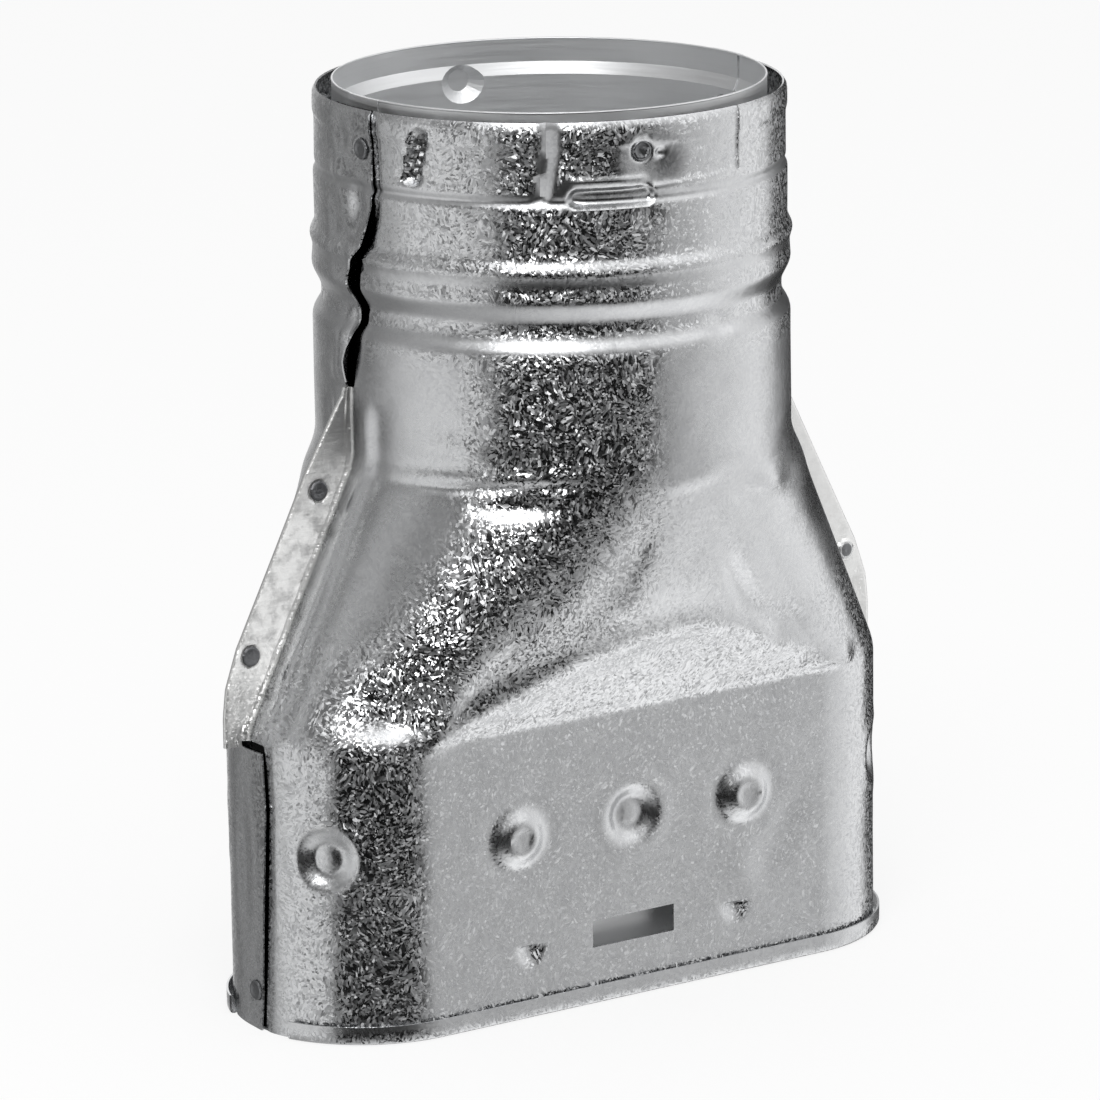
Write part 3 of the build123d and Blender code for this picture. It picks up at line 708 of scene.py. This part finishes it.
def galvanised_steel(name, smooth, dark, light, fin_tone):
    """Hot-dip galvanised sheet steel, bright spangle.

    The zinc sets as grains some 4 mm across, each one full of small feathery crystals that lie
    the same way. Some crystals are mirror bright and some are frosted, so the sheet flecks
    where it mirrors something dark and looks even where it mirrors something light.
    """
    steel = bpy.data.materials.new(name)
    steel.use_nodes = True
    tree = steel.node_tree
    tree.nodes.clear()
    place = put(tree, "TexCoord").outputs["Object"]
    grain = put(tree, "TexVoronoi", {"Vector": place, "Scale": 1 / GRAIN, "Randomness": 1.0})
    lean = put(tree, "VectorMath", {0: grain.outputs["Color"], 1: (6.28, 6.28, 6.28)},
               operation="MULTIPLY")
    turned = put(tree, "VectorRotate", {"Vector": place, "Rotation": lean.outputs[0]},
                 rotation_type="EULER_XYZ")
    long_way = put(tree, "VectorMath", {0: turned.outputs[0], 1: (1.0, 2.7, 2.7)},
                   operation="MULTIPLY")
    curl = put(tree, "TexNoise", {"Vector": place, "Scale": 1 / CURL, "Detail": 1.0})
    curl = put(tree, "VectorMath", {0: curl.outputs["Color"], "Scale": 0.0022}, operation="SCALE")
    curled = put(tree, "VectorMath", {0: long_way.outputs[0], 1: curl.outputs[0]},
                 operation="ADD")
    leaf = put(tree, "TexVoronoi",
               {"Vector": curled.outputs[0], "Scale": 1 / CRYSTAL, "Randomness": 1.0},
               distance="MANHATTAN")
    pick = put(tree, "SeparateColor", {"Color": leaf.outputs["Color"]})
    # Each crystal tilts its own way, and a few stand up where the sheet wasn't drawn
    middle = put(tree, "VectorMath", {0: leaf.outputs["Color"], 1: (0.5, 0.5, 0.5)},
                 operation="SUBTRACT")
    sway = put(tree, "VectorMath", {0: grain.outputs["Color"], 1: (0.5, 0.5, 0.5)},
               operation="SUBTRACT")
    tilt = put(tree, "VectorMath", {0: middle.outputs[0], "Scale": TILT}, operation="SCALE")
    drawn = put(tree, "Attribute", attribute_name="drawn")
    kept = put(tree, "Math", {0: 1.0, 1: drawn.outputs["Fac"]}, operation="SUBTRACT")
    lift = put(tree, "Math", {0: pick.outputs["Blue"], 1: 3.0}, operation="POWER")
    for factor in (STANDING, kept.outputs[0]):
        lift = put(tree, "Math", {0: lift.outputs[0], 1: factor}, operation="MULTIPLY")
    upward = put(tree, "CombineXYZ", {"Z": lift.outputs[0]})
    tilt = put(tree, "VectorMath", {0: tilt.outputs[0], 1: upward.outputs[0]}, operation="ADD")
    sway = put(tree, "VectorMath", {0: sway.outputs[0], 1: (GRAIN_TILT,) * 3},
               operation="MULTIPLY")
    both = put(tree, "VectorMath", {0: tilt.outputs[0], 1: sway.outputs[0]}, operation="ADD")
    face = put(tree, "NewGeometry").outputs["Normal"]
    leant = put(tree, "VectorMath", {0: face, 1: both.outputs[0]}, operation="ADD")
    normal = put(tree, "VectorMath", {0: leant.outputs[0]}, operation="NORMALIZE")
    # A little grit over it
    grit = put(tree, "TexNoise", {"Vector": place, "Scale": 1 / GRIT, "Detail": 3.0,
                                  "Roughness": 0.6})
    bump = put(tree, "Bump", {"Height": grit.outputs["Fac"], "Strength": 0.05,
                              "Distance": 0.0003, "Normal": normal.outputs[0]})
    # The fold rollers rubbed the fins, which are near Y 0 and between the slits
    apart = put(tree, "SeparateXYZ", {"Vector": place})
    off = put(tree, "Math", {0: apart.outputs["Y"]}, operation="ABSOLUTE")
    near = put(tree, "MapRange", {"Value": off.outputs[0], "From Min": 0.0012, "From Max": 0.0018,
                                  "To Min": 1.0, "To Max": 0.0})
    on_fin = near
    for outside, inside in ((0.0699, 0.0701), (0.1543, 0.1541)):
        level = put(tree, "MapRange", {"Value": apart.outputs["Z"], "From Min": outside,
                                       "From Max": inside})
        on_fin = put(tree, "Math", {0: on_fin.outputs[0], 1: level.outputs[0]},
                     operation="MULTIPLY")
    # Painted highlight: on the fins the zinc turns matt and near white, in blotches, most of all
    # along the middle of the fin and fading towards its top and bottom, standing in for the
    # bright reflection there
    blotch = put(tree, "TexNoise", {"Vector": place, "Scale": 1 / BLOTCH, "Detail": 5.0,
                                    "Roughness": 0.7})
    blotch = put(tree, "MapRange", {"Value": blotch.outputs["Fac"], "From Min": 0.37,
                                    "From Max": 0.56, "To Min": 0.3, "To Max": 1.0})
    fin_highlight = on_fin
    for bare, worn in ((0.072, 0.090), (0.144, 0.121)):
        level = put(tree, "MapRange", {"Value": apart.outputs["Z"], "From Min": bare,
                                       "From Max": worn})
        fin_highlight = put(tree, "Math", {0: fin_highlight.outputs[0], 1: level.outputs[0]},
                    operation="MULTIPLY")
    facing = put(tree, "SeparateXYZ", {"Vector": face})
    facing = put(tree, "Math", {0: facing.outputs["Y"]}, operation="ABSOLUTE")
    flat = put(tree, "MapRange", {"Value": facing.outputs[0], "From Min": 0.75,
                                  "From Max": 0.92})
    for factor in (blotch, flat):
        fin_highlight = put(tree, "Math", {0: fin_highlight.outputs[0], 1: factor.outputs[0]},
                    operation="MULTIPLY")
    metal = put(tree, "Math", {0: 1.0, 1: fin_highlight.outputs[0]}, operation="SUBTRACT")
    # The rollers left strokes across them too
    strokes = put(tree, "Mapping", {"Vector": place, "Rotation": (0, radians(-28), 0),
                                    "Scale": [1 / size for size in STROKE]})
    strokes = put(tree, "TexNoise", {"Vector": strokes.outputs[0], "Scale": 1.0, "Detail": 3.0})
    depth = put(tree, "Math", {0: on_fin.outputs[0], 1: 0.3}, operation="MULTIPLY")
    bump = put(tree, "Bump", {"Height": strokes.outputs["Fac"], "Strength": depth.outputs[0],
                              "Distance": 0.0006, "Normal": bump.outputs[0]})
    # Mirror bright crystals and frosted ones, all alike where the sheet was burnished
    frost = put(tree, "MapRange", {"Value": pick.outputs["Red"], "From Min": 0.3,
                                   "From Max": 1.0, "To Min": smooth, "To Max": FROSTED})
    frost = put(tree, "Mix", {0: drawn.outputs["Fac"], 2: frost.outputs[0],
                              3: BURNISHED_ROUGH})
    cloud = put(tree, "TexNoise", {"Vector": place, "Scale": 1 / CLOUD, "Detail": 2.0})
    worn = put(tree, "MapRange", {"Value": cloud.outputs["Fac"], "From Min": 0.35,
                                  "From Max": 0.65, "To Min": -0.04, "To Max": 0.06})
    rough = put(tree, "Math", {0: frost.outputs[0], 1: worn.outputs[0]}, operation="ADD",
                use_clamp=True)
    rubbed = put(tree, "Math", {0: on_fin.outputs[0], 1: RUBBED_ROUGH},
                 operation="MULTIPLY")
    rough = put(tree, "Math", {0: rough.outputs[0], 1: rubbed.outputs[0]},
                operation="MAXIMUM")
    zinc = put(tree, "Mix", {"Factor": pick.outputs["Green"]}, data_type="RGBA")
    zinc.inputs[6].default_value = srgb(dark)
    zinc.inputs[7].default_value = srgb(light)
    # On the fins the base colour is the fin tone given; for the sheet's zinc it is near white, a
    # painted highlight
    tone = put(tree, "Mix", {"Factor": on_fin.outputs[0], 6: zinc.outputs[2]},
               data_type="RGBA")
    tone.inputs[7].default_value = srgb(fin_tone)
    # Painted shade: the base colour goes near black in the narrow gap beside each lap, and part
    # way in the torn pocket, where shadow falls
    painted_gap_shade = put(tree, "Attribute", attribute_name="painted_gap_shade")
    gap_shade_share = put(tree, "MapRange", {"Value": painted_gap_shade.outputs["Fac"],
                                 "From Min": GAP_SHADE_EDGE - 0.1, "From Max": GAP_SHADE_EDGE + 0.25})
    gap_shaded_tone = put(tree, "Mix", {"Factor": gap_shade_share.outputs[0], 6: tone.outputs[2]}, data_type="RGBA")
    gap_shaded_tone.inputs[7].default_value = srgb("#161616")
    shader = put(tree, "BsdfPrincipled",
                 {"Base Color": gap_shaded_tone.outputs[2], "Metallic": metal.outputs[0],
                  "Roughness": rough.outputs[0], "Normal": bump.outputs[0]})
    put(tree, "OutputMaterial", {"Surface": shader.outputs[0]})
    return steel


# The last tone is the fins': near white, a painted highlight
zinc_sheet = galvanised_steel("galvanised_steel_bright_spangle", 0.14, "#C6C7C9", "#D0D1D2",
                              "#EDEDEC")
casing_front = pressed_blank("casing_front_stamping", 11, False)
casing_rear = pressed_blank("casing_rear_stamping", 23, True)
for piece, node in ((casing_front, "casing_front"), (casing_rear, "casing_rear")):
    piece.data.materials.clear()
    piece.data.materials.append(zinc_sheet)
    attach(piece, "root")
    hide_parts(node)


# Pressed joints. Through each lap and fin the two sheets are drawn into one another by a
# small round punch, which leaves a dull shallow cup on one side and a button on the other.
JOINT_RADIUS = 2.45
BUTTON_Y = 0.86
CUP_Y = 0.72
COLLAR_OUT = 56.9
OVAL_OUT = 89.1
TIE_JOINT = (-10.9, -55.1, 214.0)
# From the rim inwards: how far in each ring is from the last and how far up
CUP_RINGS = ((0.30, 0.34), (0.28, 0.05), (0.28, -0.16), (0.8, -0.10))
BUTTON_RINGS = ((0.25, 0.55), (0.45, 0.22), (0.7, 0.10), (0.6, 0.02))


def joint(name, place, facing, rings=CUP_RINGS, size=1.0):
    """One punched joint, on the sheet's face and looking the way that the face looks."""
    bpy.ops.object.select_all(action="DESELECT")
    bpy.ops.mesh.primitive_circle_add(vertices=36, radius=JOINT_RADIUS * MM, fill_type="NGON")
    cup = bpy.context.object
    cup.name = name
    bpy.ops.object.mode_set(mode="EDIT")
    bpy.ops.mesh.select_all(action="SELECT")
    for inwards, up in rings:
        bpy.ops.mesh.inset(thickness=inwards * MM, depth=0)
        bpy.ops.transform.translate(value=(0, 0, up * MM))
    bpy.ops.object.mode_set(mode="OBJECT")
    turn = Vector(facing).to_track_quat("Z", "Y").to_matrix().to_4x4()
    cup.data.transform(turn @ Matrix.Scale(size, 4))
    cup.data.transform(Matrix.Translation(Vector(place) * MM))
    bpy.ops.object.shade_smooth_by_angle(angle=radians(50))
    cup.data.materials.append(dull_zinc)
    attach(cup, "root")


dull_zinc = galvanised_steel("zinc_rubbed_dull_by_the_punch", 0.30, "#7A7B7D", "#87888A",
                             "#626365")
for side, half in ((1, "front"), (-1, "rear")):
    for n, (jx, jz) in enumerate(FIN_JOINTS):
        joint(f"joint_button_{half}_{n}", (jx * side, -BUTTON_Y * side, jz), (0, -side, 0),
              BUTTON_RINGS)
        joint(f"joint_cup_{half}_{n}", (jx * side, CUP_Y * side, jz), (0, side, 0))
    for name, out, lean, (joint_z, aside) in (("collar", COLLAR_OUT, 0.09, COLLAR_JOINT),
                                              ("oval", OVAL_OUT, 0.05, OVAL_JOINT)):
        joint(f"joint_{name}_{half}", (out * side, aside * side, joint_z),
              (side, lean * side, 0))
    # The dish that ties the casing to the liner
    joint(f"liner_tie_{half}", (TIE_JOINT[0] * side, TIE_JOINT[1] * side, TIE_JOINT[2]),
          (-0.22 * side, -0.97 * side, 0.03), size=0.98)


# Liner halves. Thin aluminium sheet, rolled smooth and pressed to the same form as the casing,
# some millimetres inside it. The two solids of the frame stay and get their finish here.
# Metres along each way of a rolling line, and across a shallow wave:
ROLLED = (0.02, 0.02, 0.0007)
WAVE = 0.02


def mill_aluminium():
    """Mill finish aluminium sheet: soft mirror with rolling lines and shallow waves."""
    metal = bpy.data.materials.new("aluminium_sheet_mill_finish")
    metal.use_nodes = True
    tree = metal.node_tree
    tree.nodes.clear()
    place = put(tree, "TexCoord").outputs["Object"]
    drawn = put(tree, "Mapping", {"Vector": place, "Scale": [1 / size for size in ROLLED]})
    lines = put(tree, "TexNoise", {"Vector": drawn.outputs[0], "Scale": 1.0, "Detail": 2.0})
    waves = put(tree, "TexNoise", {"Vector": place, "Scale": 1 / WAVE, "Detail": 1.0})
    wavy = put(tree, "Bump", {"Height": waves.outputs["Fac"], "Strength": 0.35,
                              "Distance": 0.0012})
    bump = put(tree, "Bump", {"Height": lines.outputs["Fac"], "Strength": 0.10,
                              "Distance": 0.0003, "Normal": wavy.outputs[0]})
    rough = put(tree, "MapRange", {"Value": lines.outputs["Fac"], "From Min": 0.3,
                                   "From Max": 0.7, "To Min": 0.42, "To Max": 0.56})
    tone = put(tree, "Mix", {"Factor": waves.outputs["Fac"]}, data_type="RGBA")
    tone.inputs[6].default_value = srgb("#E2E3E4")
    tone.inputs[7].default_value = srgb("#ECEDEE")
    shader = put(tree, "BsdfPrincipled",
                 {"Base Color": tone.outputs[2], "Metallic": 1.0,
                  "Roughness": rough.outputs[0], "Normal": bump.outputs[0]})
    put(tree, "OutputMaterial", {"Surface": shader.outputs[0]})
    return metal


aluminium = mill_aluminium()
for node in ("liner_front", "liner_rear"):
    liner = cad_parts[node]
    liner.data.materials.clear()
    liner.data.materials.append(aluminium)


# Liner lip. The mouth of the aluminium liner is rolled over by a wire's breadth, so its edge
# shines. Each half of the liner has half of the ring, with a gap where the halves lap.
LIP_RADIUS = 52.2
LIP_THICK = 0.28
LIP_GAP = 0.3
LINER_TOP_Z = 223.2
for side, half in ((-1, "front"), (1, "rear")):
    bpy.ops.object.select_all(action="DESELECT")
    bpy.ops.mesh.primitive_torus_add(
        major_segments=144, minor_segments=10, major_radius=LIP_RADIUS * MM,
        minor_radius=LIP_THICK * MM, location=(0, 0, (LINER_TOP_Z - LIP_THICK) * MM))
    lip = bpy.context.object
    lip.name = "liner_lip_" + half
    bpy.ops.object.transform_apply(location=True, rotation=True, scale=True)
    bpy.ops.object.mode_set(mode="EDIT")
    bpy.ops.mesh.select_all(action="SELECT")
    bpy.ops.mesh.bisect(plane_co=(0, side * LIP_GAP * MM, 0), plane_no=(0, -side, 0),
                        clear_outer=True, use_fill=True)
    bpy.ops.object.mode_set(mode="OBJECT")
    bpy.ops.object.shade_smooth_by_angle(angle=radians(40))
    lip.data.materials.append(aluminium)
    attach(lip, "root")


# Studio. A pale floor under an even pale sky, one soft lamp above, and a light tent that only
# gloss sees: its panels are pale, grey and dark, so that the bright metal has something to
# mirror, as in a product photograph.
TENT_FAR = 2.6
# How far round from the front each column of panels is, in degrees
TENT_TURNS = (-180, -165, -150, -138, -126, -112, -104, -88, -65, -60, 7, 19, 33, 50, 75, 94,
              100, 128, 146, 152, 180)
# For each height in degrees, how light zinc looks when it mirrors each panel
TENT_TONES = {
    -90: (205,) * 21,
    -62: (150, 150, 150, 150, 150, 160, 165, 165, 165, 180, 222, 232, 240, 243, 243, 225,
          170, 160, 170, 190, 150),
    -48: (110, 110, 110, 120, 115, 135, 145, 145, 140, 150, 205, 215, 228, 236, 238, 205,
          120, 110, 150, 160, 110),
    -30: (112, 100, 118, 90, 130, 160, 175, 178, 168, 90, 90, 162, 186, 202, 212, 206,
          60, 50, 60, 170, 112),
    -20: (118, 96, 135, 84, 125, 178, 202, 205, 198, 9, 9, 148, 159, 192, 222, 224,
          50, 30, 55, 205, 118),
    8: (118, 96, 140, 84, 125, 178, 202, 200, 190, 30, 30, 158, 171, 198, 222, 222,
        50, 30, 60, 215, 118),
    13: (120, 100, 140, 90, 125, 158, 190, 142, 120, 78, 78, 164, 173, 196, 210, 212,
         60, 45, 230, 235, 130),
    24: (125, 110, 130, 100, 118, 146, 180, 108, 84, 130, 130, 178, 190, 206, 212, 208,
         80, 90, 228, 230, 140),
    40: (130, 118, 118, 118, 118, 126, 155, 108, 98, 175, 185, 220, 236, 240, 234, 220,
         120, 110, 180, 205, 130),
    52: (160, 155, 155, 155, 155, 155, 165, 160, 170, 242, 242, 244, 246, 246, 242, 230,
         160, 150, 160, 205, 160),
    64: (242,) * 21,
    90: (242,) * 21,
}
ZINC_MIRRORS = 0.62
FLOOR_GLOW = 0.75
SKY_LIGHT = 0.8


def looked_at(tree):
    """1 where the backdrop is seen, straight or in a gloss, and 0 where it only lights."""
    ray = put(tree, "LightPath")
    seen = put(tree, "Math", {0: ray.outputs["Is Camera Ray"], 1: ray.outputs["Is Glossy Ray"]},
               operation="ADD")
    return put(tree, "Math", {0: seen.outputs[0], 1: ray.outputs["Is Transmission Ray"]},
               operation="ADD", use_clamp=True).outputs[0]


bpy.ops.object.select_all(action="DESELECT")
bpy.ops.mesh.primitive_uv_sphere_add(segments=144, ring_count=96, radius=TENT_FAR)
tent = bpy.context.object
tent.name = "light_tent"
heights = sorted(TENT_TONES)
shades = tent.data.color_attributes.new("panel", "FLOAT_COLOR", "POINT")
for n, vertex in enumerate(tent.data.vertices):
    x, y, z = vertex.co / TENT_FAR
    turn = np.degrees(atan2(x, -y))
    height = np.degrees(np.arcsin(np.clip(z, -1, 1)))
    tones = [np.interp(turn, TENT_TURNS, TENT_TONES[h]) for h in heights]
    shade = np.interp(height, heights, tones)
    light = ((shade / 255 + 0.055) / 1.055) ** 2.4 / ZINC_MIRRORS
    shades.data[n].color = (light, light, light, 1)
cloth = bpy.data.materials.new("tent_panels")
cloth.use_nodes = True
cloth.node_tree.nodes.clear()
panel = put(cloth.node_tree, "Attribute", attribute_name="panel")
shine = put(cloth.node_tree, "Emission", {"Color": panel.outputs["Color"], "Strength": 1.0})
put(cloth.node_tree, "OutputMaterial", {"Surface": shine.outputs[0]})
tent.data.materials.append(cloth)
for ray in ("camera", "diffuse", "shadow", "transmission", "volume_scatter"):
    setattr(tent, "visible_" + ray, False)

bpy.ops.object.select_all(action="DESELECT")
bpy.ops.mesh.primitive_plane_add(size=16)
floor = bpy.context.object
floor.name = "studio_floor"
paper = bpy.data.materials.new("matt_white_paper")
paper.use_nodes = True
paper.node_tree.nodes.clear()
matt = put(paper.node_tree, "BsdfDiffuse", {"Color": srgb("#F8F8F8")})
white = put(paper.node_tree, "Emission", {"Color": srgb("#FFFFFF"), "Strength": 1.0})
share = put(paper.node_tree, "Math", {0: looked_at(paper.node_tree), 1: FLOOR_GLOW},
            operation="MULTIPLY")
blend = put(paper.node_tree, "MixShader",
            {0: share.outputs[0], 1: matt.outputs[0], 2: white.outputs[0]})
put(paper.node_tree, "OutputMaterial", {"Surface": blend.outputs[0]})
floor.data.materials.append(paper)
floor.visible_glossy = False

sky = bpy.data.worlds.new("pale_studio")
sky.use_nodes = True
sky.node_tree.nodes.clear()
level = put(sky.node_tree, "MapRange", {"Value": looked_at(sky.node_tree),
                                        "To Min": SKY_LIGHT, "To Max": 1.0})
glow = put(sky.node_tree, "Background", {"Color": srgb("#FFFFFF"),
                                         "Strength": level.outputs[0]})
put(sky.node_tree, "OutputWorld", {"Surface": glow.outputs[0]})
bpy.context.scene.world = sky

LAMP_AT = Vector((-0.8, -0.95, 1.75))
LAMP_AIM = Vector((0, 0, 0.1))
lamp_data = bpy.data.lights.new("soft_lamp", "AREA")
lamp_data.shape = "DISK"
lamp_data.size = 1.1
lamp_data.energy = 13
lamp = bpy.data.objects.new("soft_lamp", lamp_data)
lamp.location = LAMP_AT
lamp_aim = LAMP_AIM - LAMP_AT
lamp.rotation_euler = lamp_aim.to_track_quat("-Z", "Y").to_euler()
bpy.context.scene.collection.objects.link(lamp)


# Camera. It stands where the photograph was taken from, some 1.5 m off and a little above the
# part, with a long lens.
AZIMUTH = radians(33.502)
DOWN = radians(14.333)
ROLL = radians(-0.673)
FAR = 1.5302
LENS_PIXELS = 6249.7
PHOTO_PIXELS = 1100
SENSOR = 36
AIM = Vector((-0.00094, 0.00062, 0.10505))
eye_data = bpy.data.cameras.new("photo_camera")
eye_data.sensor_width = SENSOR
eye_data.lens = LENS_PIXELS / PHOTO_PIXELS * SENSOR
eye_data.clip_end = 100
eye = bpy.data.objects.new("photo_camera", eye_data)
eye.location = AIM - FAR * Vector((sin(AZIMUTH) * cos(DOWN), cos(AZIMUTH) * cos(DOWN),
                                   -sin(DOWN)))
eye.rotation_euler = (radians(90) - DOWN, 0, -AZIMUTH)
eye.rotation_euler.rotate_axis("Z", ROLL)
bpy.context.scene.collection.objects.link(eye)
bpy.context.scene.camera = eye
bpy.context.scene.view_settings.view_transform = "Standard"
